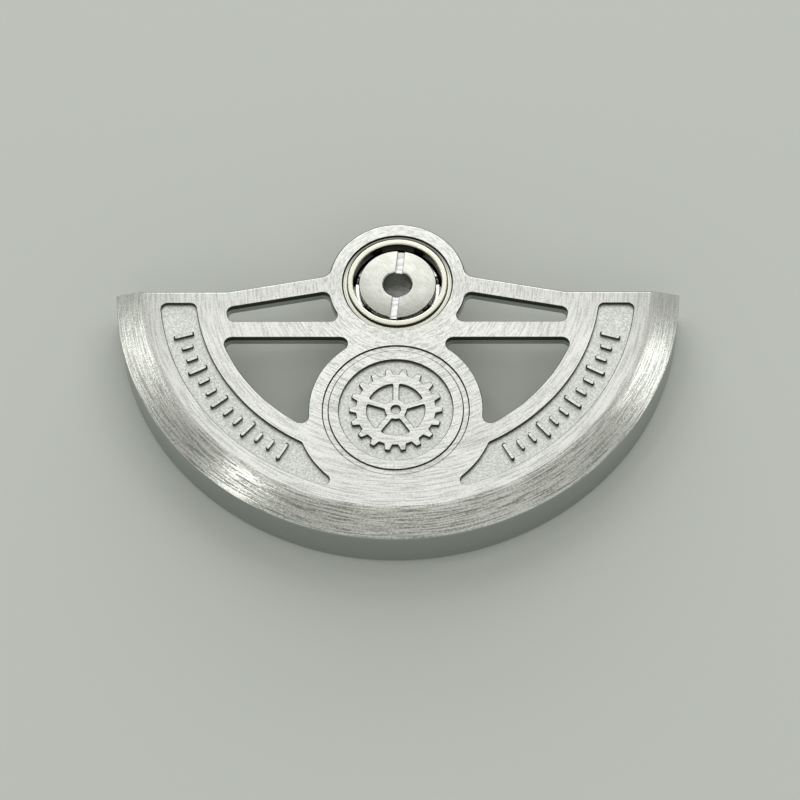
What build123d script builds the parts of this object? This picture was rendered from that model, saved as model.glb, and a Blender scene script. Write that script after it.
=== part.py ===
from build123d import *

import os
from math import cos, pi, radians, sin, sqrt, tan

# Automatic watch rotor: a half-round oscillating weight that swings on a ball bearing, with the slotted
# screw that fixes the bearing's core to the movement. Millimetres. The origin is on the rotor's axis, at
# the face of the bearing that seats on the movement. +Z points up out of the weight's brushed top face,
# and the weight hangs towards -Y. The rotor is symmetric about the YZ plane, but for the screw's slot.

# Room between pieces, and edges
shank_room = 0.04
ball_room = 0.01
pocket_room = 0.05
head_room = 0.02
edge_break = 0.03
overrun = 0.5

# Fixing screw, from its hole outwards
hole_radius = 0.675
hole_depth = 1.32
hole_chamfer = 0.05
post_wall = 0.2
shank_step = 0.22
head_thickness = 0.26
head_sink = 0.08
slot_width = 0.32
slot_depth = 0.18
slot_turn = -5.5
post_length = 1.4
neck_length = 0.3
thread_turns = 4
thread_pitch = 0.2
thread_depth = 0.08
crest_share = 0.35
tip_chamfer = 0.12

# Ball bearing
ball_count = 7
ball_radius = 0.25
ball_level_share = 0.62
first_ball_angle = -90.0
sleeve_wall = 0.17
sleeve_lift = 0.03
cone_wall = 0.262
outer_race_wall = 0.2
head_inset = 0.11
flange_inset = 0.13
foot_inset = 0.16
lip_outset = 0.16
race_lift = 0.06
collar_wall = 0.26
collar_rise = 0.09
collar_round = 0.06
cage_thickness = 0.17
cage_inset = 0.035
cage_rise = 0.18
cage_floor = 0.13

# Gear under the bearing
gear_teeth = 48
gear_width = 0.22
gear_rim = 0.35
tooth_height = 0.28
tooth_root_share = 0.62
tooth_tip_share = 0.3

# Oscillating weight
top_height = 1.2
rim_radius = 13.3
rim_width = 4.25
rim_height = 2.676
rim_edge = 0.1
bevel_width = 1.22
bevel_drop = 0.433
web_thickness = 0.62
seat_width = 0.1
seat_depth = 0.08
boss_wall = 0.67
boss_step = 0.1
end_setback = 0.467
arm_reach = 8.0
arm_angle = 10.5
arm_width = 0.87
arm_fillet = 0.5
spoke_width = 0.87
spoke_offset = 2.1
window_land = 0.31
upper_window_inset = 0.58
upper_window_round = 0.34
round_limit_share = 0.46
window_round = 0.35

# Recesses in the weight's top face
recess_depth = 0.15
band_land = 0.88
band_width = 1.65
band_setback = 0.65
band_cover = 0.24
band_round = 0.3
band_end_round = 0.25
island_cover = 2.1
island_rise = 0.19
groove_inset = 0.66
groove_width = 0.22
groove_depth = 0.07
disc_inset = 1.39

# Plain raised marks left standing in the recesses
mark_count = 13
mark_width = 0.17
long_mark_share = 0.6
short_mark_share = 0.36
long_mark_step = 3
mark_start = 196.0
mark_end = 240.0
wheel_teeth = 18
wheel_share = 0.82
wheel_root_share = 0.86
wheel_rim_share = 0.62
wheel_hub_share = 0.24
wheel_bore_share = 0.1
wheel_spokes = 5
wheel_spoke_width = 0.3

# Levels and radii that follow from the sizes above
post_radius = hole_radius + post_wall
shank_radius = post_radius + shank_step
core_bore = shank_radius + shank_room
sleeve_radius = core_bore + sleeve_wall
groove_reach = (ball_radius + ball_room) * sqrt(2)
inner_apex = sleeve_radius + cone_wall
pitch_radius = inner_apex + groove_reach
outer_apex = pitch_radius + groove_reach
head_radius = pitch_radius - head_inset
flange_radius = pitch_radius - flange_inset
foot_radius = pitch_radius - foot_inset
lip_radius = pitch_radius + lip_outset
collar_radius = lip_radius + collar_wall
race_radius = outer_apex + outer_race_wall
seat_radius = race_radius + seat_width
boss_radius = seat_radius + boss_wall
head_top = top_height - head_sink
head_bottom = head_top - head_thickness
flange_top = head_bottom - head_room
ball_level = flange_top * ball_level_share
race_bottom = race_lift
boss_bottom = race_bottom + gear_width
web_bottom = top_height - web_thickness
rim_bottom = top_height - rim_height
rim_inner = rim_radius - rim_width
window_radius = rim_inner - window_land
band_outer = rim_radius - bevel_width - band_land
band_inner = band_outer - band_width
spoke_bottom = -spoke_offset - spoke_width
island_top = spoke_bottom + island_rise
island_bottom = -window_radius - island_cover
island_radius = (island_top - island_bottom) / 2
island_y = island_top - island_radius
groove_outer = island_radius - groove_inset
groove_inner = groove_outer - groove_width
disc_radius = island_radius - disc_inset
band_end_radius = band_outer + island_y + band_cover


def polygon(corners):
    """A flat face with straight edges between its corners."""
    return make_face(Polyline(*corners, close=True))


def turned(points):
    """A solid of revolution about Z from a closed section of (radius, height) points."""
    return revolve(Plane.XZ * polygon(points), Axis.Z)


def disc(radius, x, y):
    """A round face in the XY plane."""
    return Pos(x, y) * Circle(radius)


def below(level, width):
    """The part of the XY plane with X below zero and Y below a level, out to a width."""
    return polygon([(0, level), (0, level - width), (-width, level - width), (-width, level)])


def toothed(teeth, root, tip, root_share, tip_share):
    """A face with straight-sided teeth: the shares are of one tooth's pitch, at its root and its tip."""
    profile = [(root, -root_share), (tip, -tip_share), (tip, tip_share), (root, root_share)]
    points = []
    for tooth in range(teeth):
        for radius, offset in profile:
            angle = 2 * pi * (tooth + offset / 2) / teeth
            points.append((radius * cos(angle), radius * sin(angle)))
    return polygon(points)


def cut_down(sketch, top, depth):
    """The solid that a cutter with this outline removes, from above a face down to a depth below it."""
    return Pos(0, 0, top - depth) * extrude(sketch, depth + overrun)


# Outline and openings of the weight, seen from above

def arm_edge(x):
    """Height along Y of the arms' upper edge at a place on the left side."""
    return -end_setback + (x + arm_reach) * tan(radians(arm_angle))


def weight_outline():
    """The half disc with the two arms that rise to the bearing's boss."""
    span = rim_radius + overrun
    half = polygon([(-span, -end_setback), (span, -end_setback), (span, -span), (-span, -span)])
    arms = polygon([(-arm_reach, -end_setback), (0, arm_edge(0)), (arm_reach, -end_setback)])
    outline = half + arms + Circle(boss_radius)
    corners = [v for v in outline.vertices() if v.Y > arm_edge(-arm_reach / 2)]
    return fillet(corners, arm_fillet)


def upper_window():
    """The narrow opening between the left arm and the left spoke."""
    arm_drop = arm_width / cos(radians(arm_angle))
    end_radius = window_radius - upper_window_inset
    window = polygon([
        (-rim_inner, -spoke_offset),
        (0, -spoke_offset),
        (0, arm_edge(0) - arm_drop),
        (-rim_inner, arm_edge(-rim_inner) - arm_drop),
    ])
    window = window & Circle(end_radius)
    window = window - Circle(boss_radius)
    height = arm_edge(-end_radius) - arm_drop + spoke_offset
    end_round = min(upper_window_round, height * round_limit_share)
    window = fillet(window.vertices().sort_by(Axis.X)[:2], end_round)
    inner_corners = [v for v in window.vertices() if v.X > -boss_radius - arm_fillet / 2]
    return fillet(inner_corners, end_round)


def lower_window():
    """The wide opening between the left spoke, the rim and the round island."""
    window = Circle(window_radius) & below(spoke_bottom, rim_radius)
    window = window - disc(island_radius, 0, island_y)
    return fillet(window.vertices(), window_round)


def band():
    """The long curved recess over the heavy rim, on the left."""
    shape = Circle(band_outer) - Circle(band_inner)
    shape = shape & below(-end_setback - band_setback, rim_radius)
    shape = shape - disc(band_end_radius, 0, island_y)
    lower_to_upper = shape.vertices().sort_by(Axis.Y)
    shape = fillet(lower_to_upper[-2:], band_round)
    return fillet(shape.vertices().sort_by(Axis.Y)[:2], band_end_round)


def band_marks():
    """A plain scale of raised bars in the left band, every third one long."""
    middle = (band_outer + band_inner) / 2
    marks = Sketch()
    for mark in range(mark_count):
        angle = mark_start + (mark_end - mark_start) * mark / (mark_count - 1)
        share = short_mark_share if mark % long_mark_step else long_mark_share
        bar = SlotOverall(band_width * share, mark_width)
        marks += Rot(0, 0, angle) * Pos(middle, 0) * bar
    return marks


def wheel_mark():
    """A plain spoked wheel with teeth, raised in the middle of the island's disc."""
    size = disc_radius * wheel_share
    wheel = toothed(wheel_teeth, size * wheel_root_share, size, tooth_root_share, tooth_tip_share)
    wheel = wheel - Circle(size * wheel_rim_share)
    spoke_length = size * wheel_root_share
    for spoke in range(wheel_spokes):
        arm = Pos(spoke_length / 2, 0) * Rectangle(spoke_length, wheel_spoke_width)
        wheel = wheel + Rot(0, 0, 90 + 360 * spoke / wheel_spokes) * arm
    wheel = wheel + Circle(size * wheel_hub_share)
    return wheel - Circle(size * wheel_bore_share)


# Pieces

def oscillating_weight():
    """The one-piece weight: a thin web with windows, a heavy bevelled rim and a bored boss."""
    underside_boss = boss_radius - boss_step
    section = [
        (0, boss_bottom),
        (underside_boss, boss_bottom),
        (underside_boss, web_bottom),
        (rim_inner, web_bottom),
        (rim_inner, rim_bottom + rim_edge),
        (rim_inner + rim_edge, rim_bottom),
        (rim_radius - rim_edge, rim_bottom),
        (rim_radius, rim_bottom + rim_edge),
        (rim_radius, top_height - bevel_drop),
        (rim_radius - bevel_width, top_height),
        (0, top_height),
    ]
    height = rim_height + 2 * overrun
    weight = turned(section) & Pos(0, 0, rim_bottom - overrun) * extrude(weight_outline(), height)
    for window in (upper_window(), lower_window()):
        for face in (window, mirror(window, about=Plane.YZ)):
            weight = weight - cut_down(face, top_height, rim_height)
    recess = band() - band_marks()
    for face in (recess, mirror(recess, about=Plane.YZ)):
        weight = weight - cut_down(face, top_height, recess_depth)
    medal = Circle(disc_radius) - wheel_mark()
    weight = weight - Pos(0, island_y) * cut_down(medal, top_height, recess_depth)
    groove = Circle(groove_outer) - Circle(groove_inner)
    weight = weight - Pos(0, island_y) * cut_down(groove, top_height, groove_depth)
    weight = weight - cut_down(Circle(race_radius), top_height, rim_height)
    return weight - cut_down(Circle(seat_radius), top_height, seat_depth)


def bearing_outer_race():
    """The ring pressed into the weight, with the outer ball groove and the polished collar on top."""
    lip_drop = outer_apex - lip_radius
    collar_top = top_height + collar_rise
    floor = top_height - seat_depth
    return turned([
        (race_radius - edge_break, race_bottom),
        (race_radius, race_bottom + edge_break),
        (race_radius, floor),
        (collar_radius, floor),
        (collar_radius, collar_top - collar_round),
        (collar_radius - collar_round, collar_top),
        (lip_radius + collar_round, collar_top),
        (lip_radius, collar_top - collar_round),
        (lip_radius, ball_level + lip_drop),
        (outer_apex, ball_level),
        (lip_radius, ball_level - lip_drop),
        (lip_radius, race_bottom),
    ])


def inner_race_upper():
    """The bearing's core: the upper half of the inner groove and the sleeve that carries the lower half."""
    return turned([
        (core_bore, sleeve_lift),
        (sleeve_radius, sleeve_lift),
        (sleeve_radius, ball_level),
        (inner_apex, ball_level),
        (flange_radius, ball_level + flange_radius - inner_apex),
        (flange_radius, flange_top),
        (core_bore, flange_top),
    ])


def inner_race_lower():
    """The lower cone on the sleeve: its flat foot is the face that seats on the movement."""
    return turned([
        (sleeve_radius, 0),
        (foot_radius - edge_break, 0),
        (foot_radius, edge_break),
        (foot_radius, ball_level - foot_radius + inner_apex),
        (inner_apex, ball_level),
        (sleeve_radius, ball_level),
    ])


def ball(number):
    """One steel ball of the circle, in its place at rest."""
    angle = first_ball_angle + 360 * number / ball_count
    return Rot(0, 0, angle) * Pos(pitch_radius, 0, ball_level) * Sphere(ball_radius)


def ball_cage():
    """The crown cage: a thin ring with a snap-in pocket for each ball, open at the top."""
    pocket_radius = ball_radius + pocket_room
    middle = pitch_radius - cage_inset
    inner = middle - cage_thickness / 2
    outer = middle + cage_thickness / 2
    bottom = ball_level - pocket_radius - cage_floor
    top = ball_level + cage_rise
    cage = turned([(inner, bottom), (outer, bottom), (outer, top), (inner, top)])
    drill = Plane.YZ * extrude(Circle(pocket_radius), outer + overrun)
    for number in range(ball_count):
        angle = first_ball_angle + 360 * number / ball_count
        cage = cage - Rot(0, 0, angle) * Pos(0, 0, ball_level) * drill
    return cage


def rotor_gear():
    """The toothed ring pressed on the outer race, against the boss, that drives the winding train."""
    root = race_radius + gear_rim
    face = toothed(gear_teeth, root, root + tooth_height, tooth_root_share, tooth_tip_share)
    return Pos(0, 0, race_bottom) * extrude(face - Circle(race_radius), gear_width)


def fixing_screw():
    """The captive screw: slotted hollow head, shank in the bearing's core and threaded post below it."""
    thread_root = post_radius - thread_depth
    flat = thread_pitch * crest_share
    slope = (thread_pitch - flat) / 2
    section = [
        (0, head_top),
        (head_radius - edge_break, head_top),
        (head_radius, head_top - edge_break),
        (head_radius, head_bottom),
        (shank_radius, head_bottom),
        (shank_radius, sleeve_lift),
        (post_radius, sleeve_lift),
    ]
    for turn in range(thread_turns):
        start = -neck_length - turn * thread_pitch
        section += [
            (post_radius, start),
            (thread_root, start - slope),
            (post_radius, start - 2 * slope),
        ]
    section += [
        (post_radius, tip_chamfer - post_length),
        (post_radius - tip_chamfer, -post_length),
        (0, -post_length),
    ]
    screw = turned(section)
    screw = screw - cut_down(Circle(hole_radius), head_top, hole_depth)
    sink = turned([
        (0, head_top - hole_chamfer),
        (hole_radius, head_top - hole_chamfer),
        (hole_radius + hole_chamfer, head_top),
        (0, head_top),
    ])
    slot = Rectangle(slot_width, 2 * (head_radius + overrun))
    return screw - sink - Rot(0, 0, slot_turn) * cut_down(slot, head_top, slot_depth)


pieces = {
    "oscillating_weight": oscillating_weight(),
    "bearing_outer_race": bearing_outer_race(),
    "inner_race_upper": inner_race_upper(),
    "inner_race_lower": inner_race_lower(),
    "ball_cage": ball_cage(),
    "rotor_gear": rotor_gear(),
    "fixing_screw": fixing_screw(),
}
for number in range(ball_count):
    pieces[f"bearing_ball_{number + 1}"] = ball(number)

os.makedirs("parts", exist_ok=True)
for name, solid in pieces.items():
    export_step(solid, f"parts/{name}.step")
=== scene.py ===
from math import asin, atan2, cos, pi, radians, sin, sqrt, tan, tau

import bmesh
import bpy
from mathutils import Matrix, Vector
from mathutils.geometry import tessellate_polygon


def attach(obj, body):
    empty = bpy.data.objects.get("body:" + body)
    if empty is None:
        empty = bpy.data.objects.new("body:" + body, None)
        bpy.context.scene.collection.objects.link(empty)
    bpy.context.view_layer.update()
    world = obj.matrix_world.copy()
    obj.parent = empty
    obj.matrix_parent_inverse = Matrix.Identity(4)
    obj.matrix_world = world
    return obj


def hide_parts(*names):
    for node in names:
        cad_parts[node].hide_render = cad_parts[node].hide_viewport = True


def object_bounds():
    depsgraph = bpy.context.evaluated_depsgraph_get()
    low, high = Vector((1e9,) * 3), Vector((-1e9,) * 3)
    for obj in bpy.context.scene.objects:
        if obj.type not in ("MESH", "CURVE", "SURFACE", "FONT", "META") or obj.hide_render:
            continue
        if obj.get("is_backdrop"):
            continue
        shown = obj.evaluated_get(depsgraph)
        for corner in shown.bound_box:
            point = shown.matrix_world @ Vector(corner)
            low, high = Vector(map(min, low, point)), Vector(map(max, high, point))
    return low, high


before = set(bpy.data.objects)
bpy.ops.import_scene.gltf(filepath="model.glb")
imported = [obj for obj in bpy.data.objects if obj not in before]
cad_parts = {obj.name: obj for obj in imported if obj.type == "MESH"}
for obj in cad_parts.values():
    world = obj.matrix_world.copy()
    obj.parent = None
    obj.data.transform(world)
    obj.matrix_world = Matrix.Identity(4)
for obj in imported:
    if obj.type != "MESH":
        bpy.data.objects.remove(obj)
cad_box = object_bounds()

# Oscillating weight. The real one is a single machined piece of heavy alloy: a thin web with windows and
# a thick rim with a bevel. Its face is brushed in circles round the axis, its recesses are blasted with
# fine grit, and the whole is plated with nickel. Sizes here and below are in millimetres.
MM = 0.001
TOP = 1.2
WEB_BOTTOM = 0.58
BOSS_BOTTOM = 0.28
RIM_BOTTOM = -1.476
RIM_RADIUS = 13.295
RIM_INNER = 9.05
RIM_EDGE = 0.1
BEVEL_RADIUS = 12.08
BEVEL_BOTTOM = 0.767
END_Y = -0.467
ARM_REACH = 8.0
ARM_SLOPE = tan(radians(10.5))
ARM_DROP = 0.87 / cos(radians(10.5))
ARM_ROUND = 0.5
ARM_PEAK = END_Y + ARM_REACH * ARM_SLOPE
ARM_EDGE = 0.1
ARM_EDGE_SLOPE = 3.3
ARM_EDGE_KNEE = 0.015
ARM_EDGE_DEPTH = 0.065
BOSS_RADIUS = 3.2675
BOSS_UNDER = 3.1724
RACE_RADIUS = 2.5024
SEAT_RADIUS = 2.6024
SEAT_LEVEL = 1.12
SEAT_EDGE = 0.022
SPOKE_TOP = -2.1
SPOKE_BOTTOM = -2.97
UPPER_WINDOW_RADIUS = 8.16
UPPER_WINDOW_ROUND = 0.33
LOWER_WINDOW_RADIUS = 8.74
LOWER_WINDOW_ROUND = 0.35
ISLAND_Y = -6.81
ISLAND_RADIUS = 4.03
RECESS_LEVEL = 1.05
GROOVE_OUTER = 3.37
GROOVE_INNER = 3.15
GROOVE_LEVEL = 1.13
GROOVE_EDGE = 0.05
DISC_RADIUS = 2.64
BAND_TOP = -1.117
BAND_OUTER = 11.2
BAND_INNER = 9.55
BAND_END_RADIUS = 4.63
BAND_ROUND = 0.3
BAND_END_ROUND = 0.25
BAR_ANGLES = ((196, 240), (344, 300))
WHEEL_RADIUS = 2.165
WHEEL_TEETH = 18
WHEEL_ROOT = 0.86 * WHEEL_RADIUS
WHEEL_RIM = 0.62 * WHEEL_RADIUS
WHEEL_HUB = 0.24 * WHEEL_RADIUS
WHEEL_BORE = 0.1 * WHEEL_RADIUS
WHEEL_SPOKES = 5
WHEEL_SPOKE_WIDTH = 0.3
WHEEL_ROUND = 0.06
TOOTH_TIP_SHARE = 0.15
TOOTH_ROOT_SHARE = 0.31
EDGE = 0.03
CREASE_RADIUS = 1.5
BEVEL_END = END_Y - 0.08
FLAT_WITHIN = 0.01
RIM_STEPS = 176
SAME_PLACE = 1e-8


def line(start, end):
    """A straight edge from start to end, with the region on its left."""
    along = (Vector(end) - Vector(start)).normalized()
    return {"at": Vector(start), "left": Vector((-along.y, along.x))}


def circle(centre, radius, side, steps):
    """A round edge: side is 1 where the region is inside it and -1 where it is outside."""
    return {"at": Vector(centre), "radius": radius, "side": side, "steps": steps}


def reach(curve, point):
    """How far inside a curve's region a point lies, and the direction that leads further in."""
    away = point - curve["at"]
    if "left" in curve:
        return away.dot(curve["left"]), curve["left"]
    return curve["side"] * (curve["radius"] - away.length), -curve["side"] * away.normalized()


def on_circle(centre, radius, angles):
    """The points of a circle at some angles."""
    return [Vector(centre) + radius * Vector((cos(a), sin(a))) for a in angles]


def arc_points(centre, start, end, turn, steps):
    """Points from start to end round a centre, counterclockwise where turn is 1."""
    first = atan2(start.y - centre.y, start.x - centre.x)
    last = atan2(end.y - centre.y, end.x - centre.x)
    sweep = turn * ((turn * (last - first)) % tau)
    angles = [first + sweep * i / steps for i in range(steps + 1)]
    return on_circle(centre, (start - centre).length, angles)


def trace(curves, rounds, corners):
    """A closed outline along the curves. Each corner has a radius, below zero where the region bends inwards
    round it, and a rough place to look for it."""
    points = []
    touches = []
    for i, radius in enumerate(rounds):
        point = Vector(corners[i])
        pair = curves[i], curves[(i + 1) % len(curves)]
        for _ in range(20):
            (depth, way), (other_depth, other_way) = reach(pair[0], point), reach(pair[1], point)
            gap, other_gap = radius - depth, radius - other_depth
            step = Vector((gap * other_way.y - other_gap * way.y, way.x * other_gap - other_way.x * gap))
            point = point + step / (way.x * other_way.y - way.y * other_way.x)
        touches.append([point] + [point - radius * reach(curve, point)[1] for curve in pair])
    for i, radius in enumerate(rounds):
        centre, start, end = touches[i]
        if radius:
            points += arc_points(centre, start, end, 1 if radius > 0 else -1, 8)
        else:
            points.append(start)
        after = curves[(i + 1) % len(curves)]
        if "radius" in after:
            goal = touches[(i + 1) % len(curves)][1]
            points += arc_points(after["at"], end, goal, after["side"], after["steps"])[1:-1]
    return points


def inset(loop, distance):
    """The outline moved into its region by a distance, or out of it where that is below zero."""
    moved = []
    for i, point in enumerate(loop):
        before = (point - loop[i - 1]).normalized()
        after = (loop[(i + 1) % len(loop)] - point).normalized()
        left = Vector((-before.y, before.x)), Vector((-after.y, after.x))
        moved.append(point + (left[0] + left[1]) * distance / (1 + left[0].dot(left[1])))
    return moved


def mirrored(loop):
    """The outline on the other side of the rotor, still with its region on the left."""
    return [Vector((-p.x, p.y)) for p in reversed(loop)]


def round_loop(radius, y=0.0, steps=180):
    """A full circle."""
    return on_circle((0, y), radius, [tau * i / steps for i in range(steps)])


def ring(mesh, loop, level):
    """The corners of an outline at a level."""
    return [mesh.verts.new((p.x * MM, p.y * MM, level * MM)) for p in loop]


def skirt(mesh, rings, finish=0, closed=True):
    """The walls between each ring and the next, which have as many corners."""
    for upper, lower in zip(rings, rings[1:]):
        for i in range(len(upper) if closed else len(upper) - 1):
            j = (i + 1) % len(upper)
            mesh.faces.new((upper[i], lower[i], lower[j], upper[j])).material_index = finish


def lid(mesh, rings, finish=0):
    """A flat face that fills the first ring, less the others."""
    corners = [v for one in rings for v in one]
    for triangle in tessellate_polygon([[v.co / MM for v in one] for one in rings]):
        mesh.faces.new([corners[i] for i in triangle]).material_index = finish


def wall_down(mesh, loop, bottom, edge, finish):
    """A wall with a broken upper edge, from the weight's face down. It returns its top and bottom rings."""
    rings = [ring(mesh, inset(loop, edge), TOP), ring(mesh, loop, TOP - abs(edge)), ring(mesh, loop, bottom)]
    skirt(mesh, rings, finish)
    return rings[0], rings[-1]


def in_scene(name, data):
    """A new object with this data, linked to the scene."""
    made = bpy.data.objects.new(name, data)
    bpy.context.scene.collection.objects.link(made)
    return made


def closed_mesh(name, mesh, *materials):
    """A finished mesh object: corners merged, faces turned outwards, edges above 30 degrees kept crisp."""
    bmesh.ops.remove_doubles(mesh, verts=mesh.verts, dist=SAME_PLACE)
    bmesh.ops.recalc_face_normals(mesh, faces=mesh.faces)
    data = bpy.data.meshes.new(name)
    mesh.to_mesh(data)
    mesh.free()
    for material in materials:
        data.materials.append(material)
    return crisp(in_scene(name, data))


def crisp(piece):
    """Smooth shading between the faces of a curve, with level faces flat and edges above 30 degrees crisp."""
    piece.data.shade_smooth()
    piece.data.set_sharp_from_angle(angle=radians(30))
    for face in piece.data.polygons:
        face.use_smooth = abs(face.normal.z) < 0.99999
    return piece


def node_tree(name, sizes):
    """A Geometry Nodes tree with a named input for each size, and the outputs of its input node."""
    tree = bpy.data.node_groups.new(name, "GeometryNodeTree")
    for way in ("OUTPUT", "INPUT"):
        tree.interface.new_socket("Geometry", in_out=way, socket_type="NodeSocketGeometry")
    for size, value in sizes.items():
        kind = "NodeSocketInt" if isinstance(value, int) else "NodeSocketFloat"
        tree.interface.new_socket(size, in_out="INPUT", socket_type=kind)
    return tree, add(tree, "NodeGroupInput").outputs


def close_tree(tree, geometry, material):
    """The end of each tree: instances made real and given their material."""
    real = add(tree, "GeometryNodeRealizeInstances", {0: geometry})
    done = add(tree, "GeometryNodeSetMaterial", {0: real, "Material": material})
    add(tree, "NodeGroupOutput", {0: done})


def grown(name, tree, sizes, start=None):
    """A plain mesh object that a tree makes from its sizes, and from a starting object if it has one."""
    piece = start or in_scene(name, bpy.data.meshes.new(name))
    modifier = piece.modifiers.new(name, "NODES")
    modifier.node_group = tree
    for item in tree.interface.items_tree:
        if item.in_out == "INPUT" and item.name in sizes:
            modifier[item.identifier] = sizes[item.name]
    bpy.context.view_layer.update()
    evaluated = piece.evaluated_get(bpy.context.evaluated_depsgraph_get())
    data = bpy.data.meshes.new_from_object(evaluated)
    piece.modifiers.clear()
    old = piece.data
    piece.data = data
    data.name = name
    bpy.data.meshes.remove(old)
    return crisp(piece)


def outline(radius):
    """The weight's outline with its rim at a radius, from the left end round to the right one and back."""
    x = sqrt(radius ** 2 - END_Y ** 2)
    curves = [
        circle((0, 0), radius, 1, RIM_STEPS),
        line((x, END_Y), (ARM_REACH, END_Y)),
        line((ARM_REACH, END_Y), (0, ARM_PEAK)),
        circle((0, 0), BOSS_RADIUS, 1, 90),
        line((0, ARM_PEAK), (-ARM_REACH, END_Y)),
        line((-ARM_REACH, END_Y), (-x, END_Y)),
    ]
    corners = [(x, END_Y), (ARM_REACH, END_Y), (3.7, 0.9), (-3.7, 0.9), (-ARM_REACH, END_Y), (-x, END_Y)]
    return trace(curves, [0, 0, -ARM_ROUND, -ARM_ROUND, 0, 0], corners)


upper_window = trace(
    [
        line((0, SPOKE_TOP), (1, SPOKE_TOP)),
        circle((0, 0), UPPER_WINDOW_RADIUS, 1, 8),
        line((ARM_REACH, END_Y - ARM_DROP), (0, ARM_PEAK - ARM_DROP)),
        circle((0, 0), BOSS_RADIUS, -1, 12),
    ],
    [UPPER_WINDOW_ROUND] * 4,
    [(7.6, -1.8), (7.6, -1.6), (3.6, -0.8), (3.0, -1.8)],
)
lower_window = trace(
    [
        line((1, SPOKE_BOTTOM), (0, SPOKE_BOTTOM)),
        circle((0, ISLAND_Y), ISLAND_RADIUS, -1, 40),
        circle((0, 0), LOWER_WINDOW_RADIUS, 1, 50),
    ],
    [LOWER_WINDOW_ROUND] * 3,
    [(2.2, -3.4), (4.5, -7.1), (7.8, -3.4)],
)
band = trace(
    [
        line((1, BAND_TOP), (0, BAND_TOP)),
        circle((0, 0), BAND_INNER, -1, 60),
        circle((0, ISLAND_Y), BAND_END_RADIUS, -1, 16),
        circle((0, 0), BAND_OUTER, 1, 80),
    ],
    [BAND_ROUND, BAND_END_ROUND, BAND_END_ROUND, BAND_ROUND],
    [(9.8, -1.5), (4.6, -8.6), (3.4, -10.5), (10.8, -1.5)],
)


def wheel_outline():
    """The toothed edge of the raised wheel."""
    points = []
    for tooth in range(WHEEL_TEETH):
        for share, radius in ((-TOOTH_ROOT_SHARE, WHEEL_ROOT), (-TOOTH_TIP_SHARE, WHEEL_RADIUS),
                              (TOOTH_TIP_SHARE, WHEEL_RADIUS), (TOOTH_ROOT_SHARE, WHEEL_ROOT)):
            points += on_circle((0, ISLAND_Y), radius, [tau * (tooth + share) / WHEEL_TEETH])
    return points


def wheel_window(number):
    """One opening between two of the raised wheel's spokes."""
    middle = Vector((0, ISLAND_Y))
    along = on_circle((0, 0), 1, [pi / 2 + tau * n / WHEEL_SPOKES for n in (number, number + 1)])
    left = [Vector((-a.y, a.x)) * WHEEL_SPOKE_WIDTH / 2 for a in along]
    start, end = middle + left[0], middle - left[1]
    return trace(
        [
            line(start, start + along[0]),
            circle(middle, WHEEL_RIM, 1, 16),
            line(end + along[1], end),
            circle(middle, WHEEL_HUB, -1, 10),
        ],
        [WHEEL_ROUND] * 4,
        [start + 1.2 * along[0], end + 1.2 * along[1], end + 0.6 * along[1], start + 0.6 * along[0]],
    )


def connect(tree, node, links):
    """Gives inputs of a node a value, a socket to follow, or a node whose first output in use they follow."""
    for name, value in links.items():
        if isinstance(value, bpy.types.Node):
            value = next(output for output in value.outputs if output.enabled)
        if isinstance(value, bpy.types.NodeSocket):
            tree.links.new(value, node.inputs[name])
        else:
            node.inputs[name].default_value = value


def add(tree, kind, links=None, **settings):
    """Adds a node with its links and settings."""
    node = tree.nodes.new(kind)
    for name, value in settings.items():
        setattr(node, name, value)
    connect(tree, node, links or {})
    return node


def colour(code):
    """A linear colour from an sRGB hex code."""
    parts = [int(code[i:i + 2], 16) / 255 for i in (0, 2, 4)]
    return [c / 12.92 if c <= 0.04045 else ((c + 0.055) / 1.055) ** 2.4 for c in parts] + [1]


def new_material(name):
    """An empty node material, its node tree and its shader."""
    material = bpy.data.materials.new(name)
    material.use_nodes = True
    tree = material.node_tree
    tree.nodes.clear()
    shader = add(tree, "ShaderNodeBsdfPrincipled")
    add(tree, "ShaderNodeOutputMaterial", {"Surface": shader.outputs[0]})
    return material, tree, shader


def from_axis(tree):
    """A place on the piece, the direction from the axis to it and its distance from the axis."""
    place = add(tree, "ShaderNodeTexCoord").outputs["Object"]
    flat = add(tree, "ShaderNodeVectorMath", {0: place, 1: (1, 1, 0)}, operation="MULTIPLY")
    unit = add(tree, "ShaderNodeVectorMath", {0: flat}, operation="NORMALIZE")
    return place, unit, add(tree, "ShaderNodeVectorMath", {0: flat}, operation="LENGTH")


def pattern(tree, repeats, detail=2.0, roughness=0.5, turn=0):
    """A noise with its repeats per millimetre along X, Y and Z, after a turn in degrees. With two numbers it
    follows circles round the axis, and they are its repeats per radian and per millimetre."""
    if len(repeats) == 2:
        place, unit, distance = from_axis(tree)
        height = add(tree, "ShaderNodeSeparateXYZ", {0: place}).outputs["Z"]
        down = add(tree, "ShaderNodeMath", {0: distance, 1: height}, operation="SUBTRACT")
        steps = add(tree, "ShaderNodeMath", {0: down, 1: repeats[1] / MM}, operation="MULTIPLY")
        lift = add(tree, "ShaderNodeCombineXYZ", {2: steps})
        round_part = add(tree, "ShaderNodeVectorMath", {0: unit, "Scale": repeats[0]}, operation="SCALE")
        where = add(tree, "ShaderNodeVectorMath", {0: round_part, 1: lift}, operation="ADD")
    else:
        place = add(tree, "ShaderNodeTexCoord").outputs["Object"]
        place = add(tree, "ShaderNodeVectorRotate", {"Vector": place, "Angle": radians(turn)})
        scale = [each / MM for each in repeats]
        where = add(tree, "ShaderNodeVectorMath", {0: place, 1: scale}, operation="MULTIPLY")
    noise = {"Vector": where, "Scale": 1.0, "Detail": detail, "Roughness": roughness}
    return add(tree, "ShaderNodeTexNoise", noise)


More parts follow.
